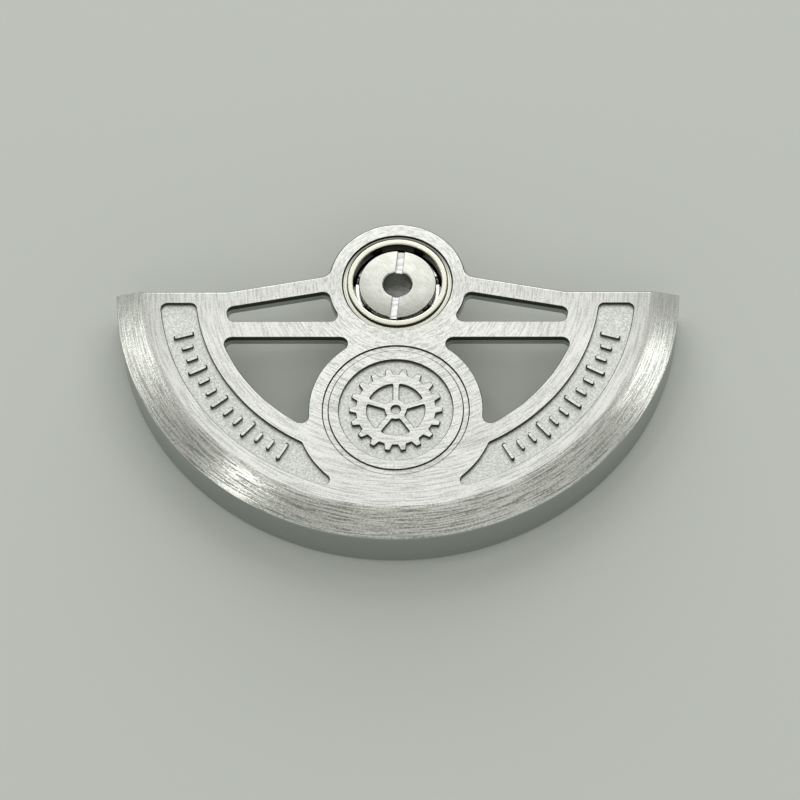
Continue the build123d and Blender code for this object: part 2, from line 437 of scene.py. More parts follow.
def metal(name, dark, pale, rough, repeats, bump=None, stops=None, **noise):
    """A metal with one pattern, which runs from a dark colour to a pale one between two stops. rough is one
    value or a pair that the pattern runs between, and bump is a strength and a depth in millimetres."""
    material, tree, shader = new_material(name)
    tone = height = pattern(tree, repeats, **noise)
    if stops:
        tone = add(tree, "ShaderNodeMapRange", {0: height, 1: stops[0], 2: stops[1]})
    shade = add(tree, "ShaderNodeMix", {0: tone, 6: colour(dark), 7: colour(pale)}, data_type="RGBA")
    if isinstance(rough, tuple):
        rough = add(tree, "ShaderNodeMapRange", {0: height, 3: rough[0], 4: rough[1]})
    connect(tree, shader, {"Base Color": shade, "Roughness": rough, "Metallic": 1.0})
    if bump:
        relief = {"Height": height, "Strength": bump[0], "Distance": bump[1] * MM}
        connect(tree, shader, {"Normal": add(tree, "ShaderNodeBump", relief)})
    return material


# Nickel plate, brushed in circles with a fine belt: pale, with short dark hair lines, and drawn out into arcs
# of light across the strokes. The bevel is brushed again by hand, so its lines are deeper and its light is
# warmer. They are about 0.03 mm wide on the real face, and drawn twice as wide so that they show.
brushed = []
for name, dark, painted_shade_front, pale, depth, least_rough, painted_shade_at_ends in (
        ("nickel_plate_brushed_in_circles", "d0d1cb", "c7c8c2", "f2f3ee", 0.3, 0.28, 0.87),
        ("nickel_plate_brushed_by_hand", "c0c3bc", "93968b", "eaebe3", 0.45, 0.24, 1.02)):
    material, tree, shader = new_material(name)
    place, unit, _ = from_axis(tree)
    hair = add(tree, "ShaderNodeMapRange", {0: pattern(tree, (8.0, 14.0), 1.0), 1: 0.3, 2: 0.6})
    fine = pattern(tree, (11.0, 11.0, 11.0), 1.0)
    grain = add(tree, "ShaderNodeMapRange", {0: fine, 1: 0.3, 2: 0.7, 3: -0.35, 4: 0.35})
    tone = add(tree, "ShaderNodeMath", {0: hair, 1: grain}, operation="ADD")
    # Painted shade: the hair lines are painted darker towards the front of the rotor, most on the bevel.
    to_front = add(tree, "ShaderNodeSeparateXYZ", {0: unit}).outputs["Y"]
    to_front = add(tree, "ShaderNodeMapRange", {0: to_front, 1: -0.25, 2: -0.85})
    shade = colour(dark)
    for share, paint in ((to_front, painted_shade_front), (tone, pale)):
        shade = add(tree, "ShaderNodeMix", {0: share, 6: shade, 7: colour(paint)}, data_type="RGBA")
    patch = add(tree, "ShaderNodeMapRange", {0: pattern(tree, (4.0, 1.0)), 1: 0.3, 2: 0.7, 3: 0.93, 4: 1.0})
    # Painted shade: the face is painted dimmer towards both ends, and the bevel is painted a little lighter
    # there.
    aside = add(tree, "ShaderNodeSeparateXYZ", {0: place}).outputs["X"]
    aside = add(tree, "ShaderNodeMath", {0: aside}, operation="ABSOLUTE")
    ends = add(tree, "ShaderNodeMapRange", {0: aside, 1: 9.5 * MM, 2: 11.5 * MM, 3: 1.0, 4: painted_shade_at_ends})
    for share in (patch, ends):
        shade = add(tree, "ShaderNodeVectorMath", {0: shade, "Scale": share}, operation="SCALE")
    rough = add(tree, "ShaderNodeMapRange", {0: tone, 3: least_rough + 0.06, 4: least_rough})
    depth = add(tree, "ShaderNodeMapRange", {0: to_front, 3: 0.3 * depth, 4: depth})
    bump = add(tree, "ShaderNodeBump", {"Height": hair, "Strength": depth, "Distance": 0.01 * MM})
    tangent = add(tree, "ShaderNodeVectorTransform", {0: unit}, vector_type="VECTOR",
                  convert_from="OBJECT", convert_to="WORLD")
    connect(tree, shader, {"Base Color": shade, "Roughness": rough, "Normal": bump, "Tangent": tangent,
                           "Metallic": 1.0, "Anisotropic": 0.85})
    brushed.append(material)
nickel_brushed, nickel_bevel = brushed

# Nickel plate over fine grit blasting: matt, pale and speckled. Its pits are drawn about 0.1 mm wide.
nickel_blasted = metal("nickel_plate_grit_blasted", "c4c7c1", "eef0eb", 0.45, (12.0, 12.0, 12.0), (0.5, 0.03),
                       stops=(0.35, 0.65), roughness=0.6)

# Nickel plate over milled walls: smooth and grey, with faint rings from the cutter. Along the upper edge a
# dark
# band is painted shade: the walls' shadow and dark reflections painted into the colour. The band is widest on
# the walls that face the rim, and in the shallow recesses it covers the whole wall.
milled = []
for name, painted_shade_depth in (("nickel_plate_over_milled_walls", 0.04), ("nickel_plate_over_recess_walls", 0.2)):
    material, tree, shader = new_material(name)
    rings = pattern(tree, (2.0, 12.0))
    shade = add(tree, "ShaderNodeMix", {0: rings, 6: colour("a8ada8"), 7: colour("bcc1bc")}, data_type="RGBA")
    here = add(tree, "ShaderNodeTexCoord").outputs
    height = add(tree, "ShaderNodeSeparateXYZ", {0: here["Object"]}).outputs["Z"]
    facing = add(tree, "ShaderNodeSeparateXYZ", {0: here["Normal"]}).outputs["Y"]
    painted_shade_wider = add(tree, "ShaderNodeMapRange", {0: facing, 1: -0.1, 2: -0.7, 4: 0.24 * MM})
    height = add(tree, "ShaderNodeMath", {0: height, 1: painted_shade_wider}, operation="ADD")
    painted_shade_at = (TOP - painted_shade_depth - 0.02) * MM, (TOP - painted_shade_depth + 0.02) * MM
    upper = add(tree, "ShaderNodeMapRange", {0: height, 1: painted_shade_at[0], 2: painted_shade_at[1]})
    # Painted shade: the band along the upper edge is painted near black.
    shade = add(tree, "ShaderNodeMix", {0: upper, 6: shade, 7: colour("34352f")}, data_type="RGBA")
    bump = add(tree, "ShaderNodeBump", {"Height": rings, "Strength": 0.15, "Distance": 0.01 * MM})
    connect(tree, shader, {"Base Color": shade, "Roughness": 0.36, "Normal": bump, "Metallic": 1.0})
    milled.append(material)
nickel_milled, nickel_recess = milled

# The bearing's seat, turned after plating with a sharp tool: smooth bare alloy. It is painted darker at the
# back, with thin dark lines along its outer wall and round the collar's foot: painted shade of the collar and
# the wall.
bare_turned, tree, shader = new_material("heavy_alloy_turned_bare")
_, unit, out = from_axis(tree)
rings = pattern(tree, (1.5, 24.0))
to_back = add(tree, "ShaderNodeSeparateXYZ", {0: unit}).outputs["Y"]
beside = add(tree, "ShaderNodeMapRange", {0: to_back, 1: -0.95, 2: -0.65})
shade_behind = add(tree, "ShaderNodeMapRange", {0: to_back, 1: 0.1, 2: 0.7})
outer = add(tree, "ShaderNodeMapRange", {0: out, 1: 2.535 * MM, 2: 2.565 * MM})
outer = add(tree, "ShaderNodeMath", {0: outer, 1: beside}, operation="MULTIPLY")
nearer = add(tree, "ShaderNodeMath", {0: shade_behind, 1: -0.08 * MM, 2: out}, operation="MULTIPLY_ADD")
inner = add(tree, "ShaderNodeMapRange", {0: nearer, 1: 2.41 * MM, 2: 2.38 * MM})
shade = colour("dedfd2")
# Painted shade: darker at the back, and two thin dark lines at the outer wall and the collar's foot.
for share, dark in ((shade_behind, "84857c"), (outer, "34352f"), (inner, "34352f")):
    shade = add(tree, "ShaderNodeMix", {0: share, 6: shade, 7: colour(dark)}, data_type="RGBA")
streak = add(tree, "ShaderNodeMapRange", {0: rings, 3: 0.85, 4: 1.1})
shade = add(tree, "ShaderNodeVectorMath", {0: shade, "Scale": streak}, operation="SCALE")
rough = add(tree, "ShaderNodeMapRange", {0: rings, 3: 0.16, 4: 0.26})
connect(tree, shader, {"Base Color": shade, "Roughness": rough, "Metallic": 1.0})


def turned_spot(tree, radius, angle, level=0.0):
    """A point at a radius and a level, turned round the axis by an angle."""
    out = add(tree, "ShaderNodeCombineXYZ", {0: radius, 2: level})
    return add(tree, "ShaderNodeVectorRotate", {"Vector": out, "Angle": angle})


# The raised bars of the scale in each band: milled out of the same metal, with the weight's face on top.
bar_sizes = {"Mark Count": 13, "Long Every": 3, "Long Length": 0.99 * MM, "Short Length": 0.594 * MM,
             "Width": 0.17 * MM, "Circle Radius": (BAND_OUTER + BAND_INNER) / 2 * MM, "First Angle": 0.0,
             "Last Angle": 0.0, "Foot Level": (RECESS_LEVEL - 0.01) * MM, "Height": 0.16 * MM,
             "Broken Edge": EDGE * MM, "Top Share": 0.86}
tree, size = node_tree("scale_bars", bar_sizes)
number = add(tree, "GeometryNodeInputIndex")
last = add(tree, "ShaderNodeMath", {0: size["Mark Count"], 1: 1.0}, operation="SUBTRACT")
turn = add(tree, "ShaderNodeMapRange", {0: number, 2: last, 3: size["First Angle"], 4: size["Last Angle"]})
marks = add(tree, "GeometryNodePoints", {0: size["Mark Count"]})
spot = turned_spot(tree, size["Circle Radius"], turn, size["Foot Level"])
marks = add(tree, "GeometryNodeSetPosition", {0: marks, "Position": spot})
beat = add(tree, "ShaderNodeMath", {0: number, 1: size["Long Every"]}, operation="MODULO")
facing = add(tree, "ShaderNodeCombineXYZ", {2: turn})
where = add(tree, "GeometryNodeInputPosition")
side = add(tree, "ShaderNodeVectorMath", {0: where}, operation="SIGN")
half_width = add(tree, "ShaderNodeMath", {0: size["Width"], 1: 0.5}, operation="MULTIPLY")
wall = add(tree, "ShaderNodeMath", {0: size["Height"], 1: size["Broken Edge"]}, operation="SUBTRACT")
both = add(tree, "GeometryNodeJoinGeometry")
for length, chosen in (("Short Length", "GREATER_THAN"), ("Long Length", "LESS_EQUAL")):
    spare = add(tree, "ShaderNodeMath", {0: size[length], 1: size["Width"]}, operation="SUBTRACT")
    stretch = add(tree, "ShaderNodeVectorMath", {0: side, "Scale": spare}, operation="SCALE")
    stretch = add(tree, "ShaderNodeVectorMath", {0: stretch, 1: (0.5, 0, 0)}, operation="MULTIPLY")
    plan = add(tree, "GeometryNodeMeshCircle", {"Vertices": 12, "Radius": half_width}, fill_type="NGON")
    plan = add(tree, "GeometryNodeTransform", {0: plan, "Rotation": (0, 0, pi / 12)})
    plan = add(tree, "GeometryNodeSetPosition", {0: plan, "Offset": stretch})
    bar = plan
    for rise in (wall, size["Broken Edge"]):
        up = add(tree, "ShaderNodeCombineXYZ", {2: rise})
        bar = add(tree, "GeometryNodeExtrudeMesh", {0: bar, "Offset": up, "Offset Scale": 1.0})
    bar = add(tree, "GeometryNodeScaleElements", {0: bar, 1: bar.outputs["Top"], "Scale": size["Top Share"]})
    whole = add(tree, "GeometryNodeJoinGeometry")
    for part in (bar, plan):
        connect(tree, whole, {0: part})
    long_or_short = add(tree, "FunctionNodeCompare", {0: beat, 1: 0.5}, operation=chosen)
    bars = {0: marks, "Selection": long_or_short, "Instance": whole, "Rotation": facing}
    connect(tree, both, {0: add(tree, "GeometryNodeInstanceOnPoints", bars)})
close_tree(tree, both, nickel_recess)

BRUSHED, BEVEL, BLASTED, MILLED, RECESS, TURNED = range(6)
weight = bmesh.new()
for first, last in BAR_ANGLES:
    bar_sizes["First Angle"], bar_sizes["Last Angle"] = radians(first), radians(last)
    bars = grown("scale_bars", tree, bar_sizes)
    # The bars' walls take the recess walls' finish, which is painted dark as painted shade.
    for face in bars.data.polygons:
        face.material_index = BRUSHED if face.center.z > (TOP - EDGE / 4) * MM else RECESS
    weight.from_mesh(bars.data)
    bpy.data.objects.remove(bars)

# The face, its rounded crease and the bevel. The arms' upper edge is worn, so it is cut back under the face.
slope = atan2(TOP - BEVEL_BOTTOM, RIM_RADIUS - BEVEL_RADIUS)
start = BEVEL_RADIUS - CREASE_RADIUS * tan(slope / 2)
face_rings = []
for lean in [slope * i / 6 for i in range(7)]:
    radius, fall = start + CREASE_RADIUS * sin(lean), CREASE_RADIUS * (1 - cos(lean))
    cut = ARM_EDGE - ARM_EDGE_SLOPE * fall if fall < ARM_EDGE_KNEE else max(0, ARM_EDGE_DEPTH - fall)
    face_rings.append(ring(weight, inset(outline(radius + cut), cut), TOP - fall))
bevel_low = ring(weight, outline(RIM_RADIUS - EDGE / 2), BEVEL_BOTTOM + EDGE / 4)
wall_high, web_low = (ring(weight, outline(RIM_RADIUS), level) for level in (BEVEL_BOTTOM - EDGE, WEB_BOTTOM))
skirt(weight, face_rings + [bevel_low], BEVEL)
# Crease faces off the rim that fall below the face take the milled walls' finish, with its painted dark shade
# along the upper edge.
for face in weight.faces:
    middle = face.calc_center_median() / MM
    on_rim = middle.xy.length > start and middle.y < BEVEL_END
    if face.material_index == BEVEL and not on_rim:
        face.material_index = BRUSHED if middle.z > TOP - FLAT_WITHIN else MILLED
skirt(weight, [bevel_low, wall_high, web_low], MILLED)

face_holes, web_holes = [], []
for loop in (upper_window, mirrored(upper_window), lower_window, mirrored(lower_window)):
    top, low = wall_down(weight, loop, WEB_BOTTOM, -EDGE, MILLED)
    face_holes.append(top)
    web_holes.append(low)
for loop in (band, mirrored(band)):
    top, low = wall_down(weight, loop, RECESS_LEVEL, -EDGE, RECESS)
    face_holes.append(top)
    lid(weight, [low], BLASTED)
groove = round_loop(GROOVE_OUTER, ISLAND_Y), round_loop(GROOVE_INNER, ISLAND_Y)
top, groove_outer = wall_down(weight, groove[0], GROOVE_LEVEL, -GROOVE_EDGE, RECESS)
face_holes.append(top)
land_outer, groove_inner = wall_down(weight, groove[1], GROOVE_LEVEL, GROOVE_EDGE, RECESS)
lid(weight, [groove_outer, groove_inner], BRUSHED)
land_inner, disc_low = wall_down(weight, round_loop(DISC_RADIUS, ISLAND_Y), RECESS_LEVEL, -EDGE, RECESS)
lid(weight, [land_outer, land_inner])

wheel_top, wheel_low = wall_down(weight, wheel_outline(), RECESS_LEVEL, EDGE, RECESS)
holes = [wheel_window(n) for n in range(WHEEL_SPOKES)] + [round_loop(WHEEL_BORE, ISLAND_Y, 32)]
openings = [wall_down(weight, loop, RECESS_LEVEL, -EDGE, RECESS) for loop in holes]
lid(weight, [wheel_top] + [top for top, _ in openings])
lid(weight, [disc_low, wheel_low], BLASTED)
for _, low in openings:
    lid(weight, [low], BLASTED)

seat_top, seat_low = wall_down(weight, round_loop(SEAT_RADIUS), SEAT_LEVEL, -SEAT_EDGE, MILLED)
bore_top, bore_low = (ring(weight, round_loop(RACE_RADIUS), level) for level in (SEAT_LEVEL, BOSS_BOTTOM))
skirt(weight, [bore_top, bore_low], MILLED)
skirt(weight, [seat_low, bore_top], TURNED)
lid(weight, [face_rings[0]] + face_holes + [seat_top])
boss_high, boss_low = (ring(weight, round_loop(BOSS_UNDER), level) for level in (WEB_BOTTOM, BOSS_BOTTOM))
skirt(weight, [boss_high, boss_low], MILLED)
lid(weight, [boss_low, bore_low], MILLED)


def rim_arc(radius):
    """The part of a circle that lies in the weight's half, from the left end to the right one."""
    lean = asin(-END_Y / radius)
    angles = [pi + lean + (pi - 2 * lean) * i / RIM_STEPS for i in range(RIM_STEPS + 1)]
    return on_circle((0, 0), radius, angles)


section = [
    (RIM_RADIUS, WEB_BOTTOM),
    (RIM_RADIUS, RIM_BOTTOM + RIM_EDGE),
    (RIM_RADIUS - RIM_EDGE, RIM_BOTTOM),
    (RIM_INNER + RIM_EDGE, RIM_BOTTOM),
    (RIM_INNER, RIM_BOTTOM + RIM_EDGE),
    (RIM_INNER, WEB_BOTTOM),
]
arcs = [ring(weight, rim_arc(radius), level) for radius, level in section]
skirt(weight, arcs, MILLED, closed=False)
for end in (0, -1):
    weight.faces.new([arc[end] for arc in arcs]).material_index = MILLED
inner_arc = arcs[-1]
for inner_end in (inner_arc[0], inner_arc[-1]):
    level_with = [v for v in web_low if abs(v.co.y - inner_end.co.y) < SAME_PLACE]
    ends = [v for v in level_with if v.co.x * inner_end.co.x > 0]
    split_at = bmesh.utils.edge_split(weight.edges.get(ends), ends[0], 0.5)[1]
    split_at.co = inner_end.co
edge_part = [v for v in web_low if v.co.y > END_Y * MM - SAME_PLACE]
rightmost = max(range(len(edge_part)), key=lambda i: edge_part[i].co.x)
edge_part = edge_part[rightmost:] + edge_part[:rightmost]
lid(weight, [edge_part[1:-1] + inner_arc, boss_high] + web_holes, MILLED)
weight_piece = closed_mesh("weight", weight, nickel_brushed, nickel_bevel, nickel_blasted, nickel_milled,
                           nickel_recess, bare_turned)
for face in weight_piece.data.polygons:
    beside_boss = abs(face.center.x) > BOSS_RADIUS * MM
    if face.material_index in (BRUSHED, MILLED) and beside_boss and face.center.z > (TOP - ARM_EDGE) * MM:
        face.use_smooth = False
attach(weight_piece, "rotor")
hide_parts("oscillating_weight")

# Bearing's outer race. The real one is a hardened steel ring, ground inside with a groove for the balls and
# pressed into the weight's bore. Its collar is polished, and shows as the warm bright ring round the middle.
COLLAR_TOP = 1.29
COLLAR_RADIUS = 2.3547
COLLAR_ROUND = 0.05
LIP_ROUND = 0.055
LIP_RADIUS = 2.0947
RACE_BOTTOM = 0.06
BALL_LEVEL = 0.5208
OUTER_APEX = 2.3024
CORNER_BREAK = 0.012
ON_WALL = 0.002


def broken(section, cut):
    """A closed section with each corner cut off by a small flat."""
    corners = [Vector(p) for p in section]
    points = []
    for i, corner in enumerate(corners):
        for other in (corners[i - 1], corners[(i + 1) % len(corners)]):
            points.append(corner + cut * (other - corner).normalized())
    return points


def rounded(centre, radius, first, last):
    """The points of a rounded corner of a section, between two directions in degrees."""
    return on_circle(centre, radius, [radians(first + (last - first) * i / 6) for i in range(7)])


def turned(mesh, section):
    """The solid of revolution of a closed section of (radius, height) points."""
    circles = [ring(mesh, round_loop(radius, steps=192), height) for radius, height in section]
    skirt(mesh, circles + circles[:1])


# Polished bearing steel: a mirror with a faint warm cast, and fine rings left by the polishing stick.
bearing_steel = metal("bearing_steel_polished", "dddccc", "eeedde", (0.2, 0.3), (1.5, 30.0), (0.1, 0.005))

# The same steel where the polish stops, under a film of oil, and painted nearly black as painted shade of the
# bearing's narrow gap.
oiled_shaded_steel = metal("bearing_steel_oiled_and_shaded", "32322d", "4c4b44", (0.2, 0.4), (2.0, 14.0))

drop = OUTER_APEX - LIP_RADIUS
race = bmesh.new()
section = broken([
    (LIP_RADIUS, BALL_LEVEL + drop),
    (OUTER_APEX, BALL_LEVEL),
    (LIP_RADIUS, BALL_LEVEL - drop),
    (LIP_RADIUS, RACE_BOTTOM),
    (RACE_RADIUS, RACE_BOTTOM),
    (RACE_RADIUS, SEAT_LEVEL),
    (COLLAR_RADIUS, SEAT_LEVEL),
    (COLLAR_RADIUS, COLLAR_TOP),
    (LIP_RADIUS, COLLAR_TOP),
], CORNER_BREAK)[:-4]
section += rounded((COLLAR_RADIUS - COLLAR_ROUND, COLLAR_TOP - COLLAR_ROUND), COLLAR_ROUND, 0, 90)
turned(race, section + rounded((LIP_RADIUS + LIP_ROUND, COLLAR_TOP - LIP_ROUND), LIP_ROUND, 90, 180))
# The race's inside and the collar's outer wall take the oiled steel with its painted shade; the shoulder
# beyond the collar takes the seat's finish.
for face in race.faces:
    middle = face.calc_center_median() / MM
    out = middle.xy.length
    inside = out < LIP_RADIUS + ON_WALL or middle.z < BALL_LEVEL + drop and out < OUTER_APEX
    on_collar = abs(out - COLLAR_RADIUS) < ON_WALL and middle.z > SEAT_LEVEL + CORNER_BREAK
    if middle.z > RACE_BOTTOM + CORNER_BREAK and (inside or on_collar):
        face.material_index = 1
    elif middle.z > SEAT_LEVEL - CORNER_BREAK and out > COLLAR_RADIUS:
        face.material_index = 2
race_piece = closed_mesh("outer_race", race, bearing_steel, oiled_shaded_steel, bare_turned)
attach(race_piece, "rotor")
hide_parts("bearing_outer_race")

# Rotor gear. The real one is a thin brass ring with cut teeth, pressed on the outer race under the boss. It
# drives the winding train.
GEAR_TEETH = 48
GEAR_ROOT = 2.8524
GEAR_TIP = 3.1324
GEAR_WIDTH = 0.22

# Brass, cut and then satin finished: yellow, half matt, with fine straight grain across the faces.
gear_brass = metal("brass_satin", "c9a567", "e0c48a", (0.3, 0.42), (6.0, 20.0), (0.2, 0.01), detail=3.0)

gear_sizes = {"Teeth": GEAR_TEETH, "Root Radius": GEAR_ROOT * MM, "Tip Radius": GEAR_TIP * MM,
              "Bore Radius": RACE_RADIUS * MM, "Width": GEAR_WIDTH * MM, "Lowest Level": RACE_BOTTOM * MM,
              "Root Share": TOOTH_ROOT_SHARE, "Tip Share": TOOTH_TIP_SHARE}
tree, size = node_tree("gear_teeth", gear_sizes)
corner_count = add(tree, "ShaderNodeMath", {0: size["Teeth"], 1: 4.0}, operation="MULTIPLY")
edge = add(tree, "GeometryNodeMeshCircle", {"Vertices": corner_count})
number = add(tree, "GeometryNodeInputIndex")
corner = add(tree, "ShaderNodeMath", {0: number, 1: 4.0}, operation="MODULO")
tooth = add(tree, "ShaderNodeMath", {0: number, 1: 4.0}, operation="DIVIDE")
tooth = add(tree, "ShaderNodeMath", {0: tooth}, operation="FLOOR")
middle = add(tree, "ShaderNodeMath", {0: corner, 1: 1.5}, operation="SUBTRACT")
side = add(tree, "ShaderNodeMath", {0: middle}, operation="SIGN")
apart = add(tree, "ShaderNodeMath", {0: middle}, operation="ABSOLUTE")
ends = {0: apart, 1: 0.5, 2: 1.5}
share = add(tree, "ShaderNodeMapRange", {**ends, 3: size["Tip Share"], 4: size["Root Share"]})
far = add(tree, "ShaderNodeMapRange", {**ends, 3: size["Tip Radius"], 4: size["Root Radius"]})
place = add(tree, "ShaderNodeMath", {0: side, 1: share, 2: tooth}, operation="MULTIPLY_ADD")
turns = add(tree, "ShaderNodeMath", {0: place, 1: size["Teeth"]}, operation="DIVIDE")
angle = add(tree, "ShaderNodeMath", {0: turns, 1: tau}, operation="MULTIPLY")
edge = add(tree, "GeometryNodeSetPosition", {0: edge, "Position": turned_spot(tree, far, angle)})
edge = add(tree, "GeometryNodeMeshToCurve", {0: edge})
bore = add(tree, "GeometryNodeCurvePrimitiveCircle", {"Resolution": 144, "Radius": size["Bore Radius"]})
both = add(tree, "GeometryNodeJoinGeometry")
for part in (edge, bore):
    connect(tree, both, {0: part})
face = add(tree, "GeometryNodeFillCurve", {0: both})
lift = add(tree, "ShaderNodeCombineXYZ", {2: size["Lowest Level"]})
face = add(tree, "GeometryNodeSetPosition", {0: face, "Offset": lift})
rise = add(tree, "ShaderNodeCombineXYZ", {2: size["Width"]})
walls = add(tree, "GeometryNodeExtrudeMesh", {0: face, "Offset": rise, "Individual": False})
whole = add(tree, "GeometryNodeJoinGeometry")
for part in (walls, add(tree, "GeometryNodeFlipFaces", {0: face})):
    connect(tree, whole, {0: part})
close_tree(tree, add(tree, "GeometryNodeMergeByDistance", {0: whole, "Distance": 0.0005 * MM}), gear_brass)
gear_piece = grown("gear", tree, gear_sizes)
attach(gear_piece, "rotor")
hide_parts("rotor_gear")

# Inner races. The real ones are two ground steel rings that make the groove under the balls: the upper one
# has the sleeve, and the lower one is pressed on it and stands on the movement.
CORE_BORE = 1.135
SLEEVE_RADIUS = 1.305
SLEEVE_LIFT = 0.03
INNER_APEX = 1.567
FLANGE_RADIUS = 1.8047
FLANGE_TOP = 0.84
FOOT_RADIUS = 1.7747

# Ground bearing steel: grey, bright along fine turned rings.
ground_steel = metal("bearing_steel_ground", "c9cac6", "dcddd8", (0.22, 0.34), (2.0, 25.0), (0.25, 0.01),
                     detail=3.0)

upper = bmesh.new()
turned(upper, broken([
    (CORE_BORE, SLEEVE_LIFT),
    (SLEEVE_RADIUS, SLEEVE_LIFT),
    (SLEEVE_RADIUS, BALL_LEVEL),
    (INNER_APEX, BALL_LEVEL),
    (FLANGE_RADIUS, BALL_LEVEL + FLANGE_RADIUS - INNER_APEX),
    (FLANGE_RADIUS, FLANGE_TOP),
    (CORE_BORE, FLANGE_TOP),
], CORNER_BREAK))
upper_piece = closed_mesh("upper_inner_race", upper, ground_steel)
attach(upper_piece, "bearing_core")
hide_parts("inner_race_upper")

lower = bmesh.new()
turned(lower, broken([
    (SLEEVE_RADIUS, 0),
    (FOOT_RADIUS, 0),
    (FOOT_RADIUS, BALL_LEVEL - FOOT_RADIUS + INNER_APEX),
    (INNER_APEX, BALL_LEVEL),
    (SLEEVE_RADIUS, BALL_LEVEL),
], CORNER_BREAK))
lower_piece = closed_mesh("lower_inner_race", lower, ground_steel)
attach(lower_piece, "bearing_core")
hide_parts("inner_race_lower")

# Ball cage. The real one is a thin steel crown turned from tube, drilled through for each ball, and the
# pockets are open at the top so that it snaps down over the balls.
BALL_COUNT = 7
BALL_CIRCLE = 1.9347
FIRST_BALL = radians(-90)
POCKET_RADIUS = 0.30
CAGE_INNER = 1.8147
CAGE_OUTER = 1.9847
CAGE_BOTTOM = 0.0908
CAGE_TOP = 0.7008
CAGE_BREAK = 0.015

# Stainless steel, tumbled after drilling: bright and soft, with a fine even grain.
tumbled_steel = metal("stainless_steel_tumbled", "ecece6", "f8f8f2", 0.14, (18.0, 18.0, 18.0), (0.2, 0.01))

cage_sizes = {"Ball Count": BALL_COUNT, "First Angle": FIRST_BALL, "Pocket Radius": POCKET_RADIUS * MM,
              "Pocket Level": BALL_LEVEL * MM, "Ball Circle": BALL_CIRCLE * MM}
tree, size = node_tree("drilled_pockets", cage_sizes)
drills = add(tree, "GeometryNodePoints", {0: size["Ball Count"]})
number = add(tree, "GeometryNodeInputIndex")
step = add(tree, "ShaderNodeMath", {0: tau, 1: size["Ball Count"]}, operation="DIVIDE")
angle = add(tree, "ShaderNodeMath", {0: number, 1: step, 2: size["First Angle"]}, operation="MULTIPLY_ADD")
spot = turned_spot(tree, size["Ball Circle"], angle, size["Pocket Level"])
drills = add(tree, "GeometryNodeSetPosition", {0: drills, "Position": spot})
depth = add(tree, "ShaderNodeMath", {0: size["Pocket Radius"], 1: 2.0}, operation="MULTIPLY")
drill_sizes = {"Vertices": 48, "Radius": size["Pocket Radius"], "Depth": depth}
drill = add(tree, "GeometryNodeMeshCylinder", drill_sizes)
facing = add(tree, "ShaderNodeCombineXYZ", {1: pi / 2, 2: angle})
drills = add(tree, "GeometryNodeInstanceOnPoints", {0: drills, "Instance": drill, "Rotation": facing})
drills = add(tree, "GeometryNodeRealizeInstances", {0: drills})
pockets = add(tree, "GeometryNodeMeshBoolean", {0: size["Geometry"], 1: drills}, operation="DIFFERENCE",
              solver="MANIFOLD")
close_tree(tree, pockets, tumbled_steel)
blank = bmesh.new()
turned(blank, broken([
    (CAGE_INNER, CAGE_BOTTOM),
    (CAGE_OUTER, CAGE_BOTTOM),
    (CAGE_OUTER, CAGE_TOP),
    (CAGE_INNER, CAGE_TOP),
], CAGE_BREAK))
cage_piece = grown("cage", tree, cage_sizes, closed_mesh("cage", blank, tumbled_steel))
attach(cage_piece, "cage")
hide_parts("ball_cage")

# Balls. The real ones are lapped chrome steel, seven of them. They roll in the grooves of the races, held
# apart by the cage's pockets.
BALL_RADIUS = 0.25

# Lapped chrome steel, painted dark as painted shade of the gap the balls lie in: a dark mirror that shows
# little but the brightest lights.
shaded_ball_steel = metal("chrome_steel_lapped", "6a6b67", "7c7d79", (0.04, 0.14), (4.0, 4.0, 4.0))

ball_sizes = {"Ball Radius": BALL_RADIUS * MM, "Ball Circle": BALL_CIRCLE * MM, "Level": BALL_LEVEL * MM,
              "Angle": FIRST_BALL}
tree, size = node_tree("ball_in_place", ball_sizes)
sphere = add(tree, "GeometryNodeMeshUVSphere", {"Segments": 48, "Rings": 24, "Radius": size["Ball Radius"]})
spot = turned_spot(tree, size["Ball Circle"], size["Angle"], size["Level"])
close_tree(tree, add(tree, "GeometryNodeTransform", {0: sphere, "Translation": spot}), shaded_ball_steel)
for number in range(1, BALL_COUNT + 1):
    ball_sizes["Angle"] = FIRST_BALL + tau * (number - 1) / BALL_COUNT
    ball = grown(f"ball_{number}", tree, ball_sizes)
    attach(ball, f"ball_{number}")
    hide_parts(f"bearing_ball_{number}")

# Fixing screw. The real one is turned from hardened steel and polished: a wide thin head over the bearing,
# slotted right across and bored out, a shank in the bearing's core and a threaded post into the movement.
HEAD_RADIUS = 1.8247
HEAD_TOP = 1.12
HEAD_BOTTOM = 0.86
SLOT_WIDTH = 0.32
SLOT_LEVEL = 0.94
SLOT_TURN = radians(84.5)
HOLE_RADIUS = 0.675
HOLE_BOTTOM = -0.2
HOLE_CHAMFER = 0.05
SHANK_RADIUS = 1.095
POST_RADIUS = 0.875
THREAD_ROOT = 0.795
THREAD_TOP = -0.3
THREAD_PITCH = 0.2
THREAD_TURNS = 4
POST_BOTTOM = -1.4
POST_CHAMFER = 0.12
HEAD_DOME = 0.03
HEAD_CORNER = 0.03
HEAD_BREAK = 0.02
SHANK_BREAK = 0.03
THREAD_RUNOUT = 0.065
THREAD_LEAD = 0.1
CREST_DEPTH = 0.002
CREST_WIDTH = 0.07

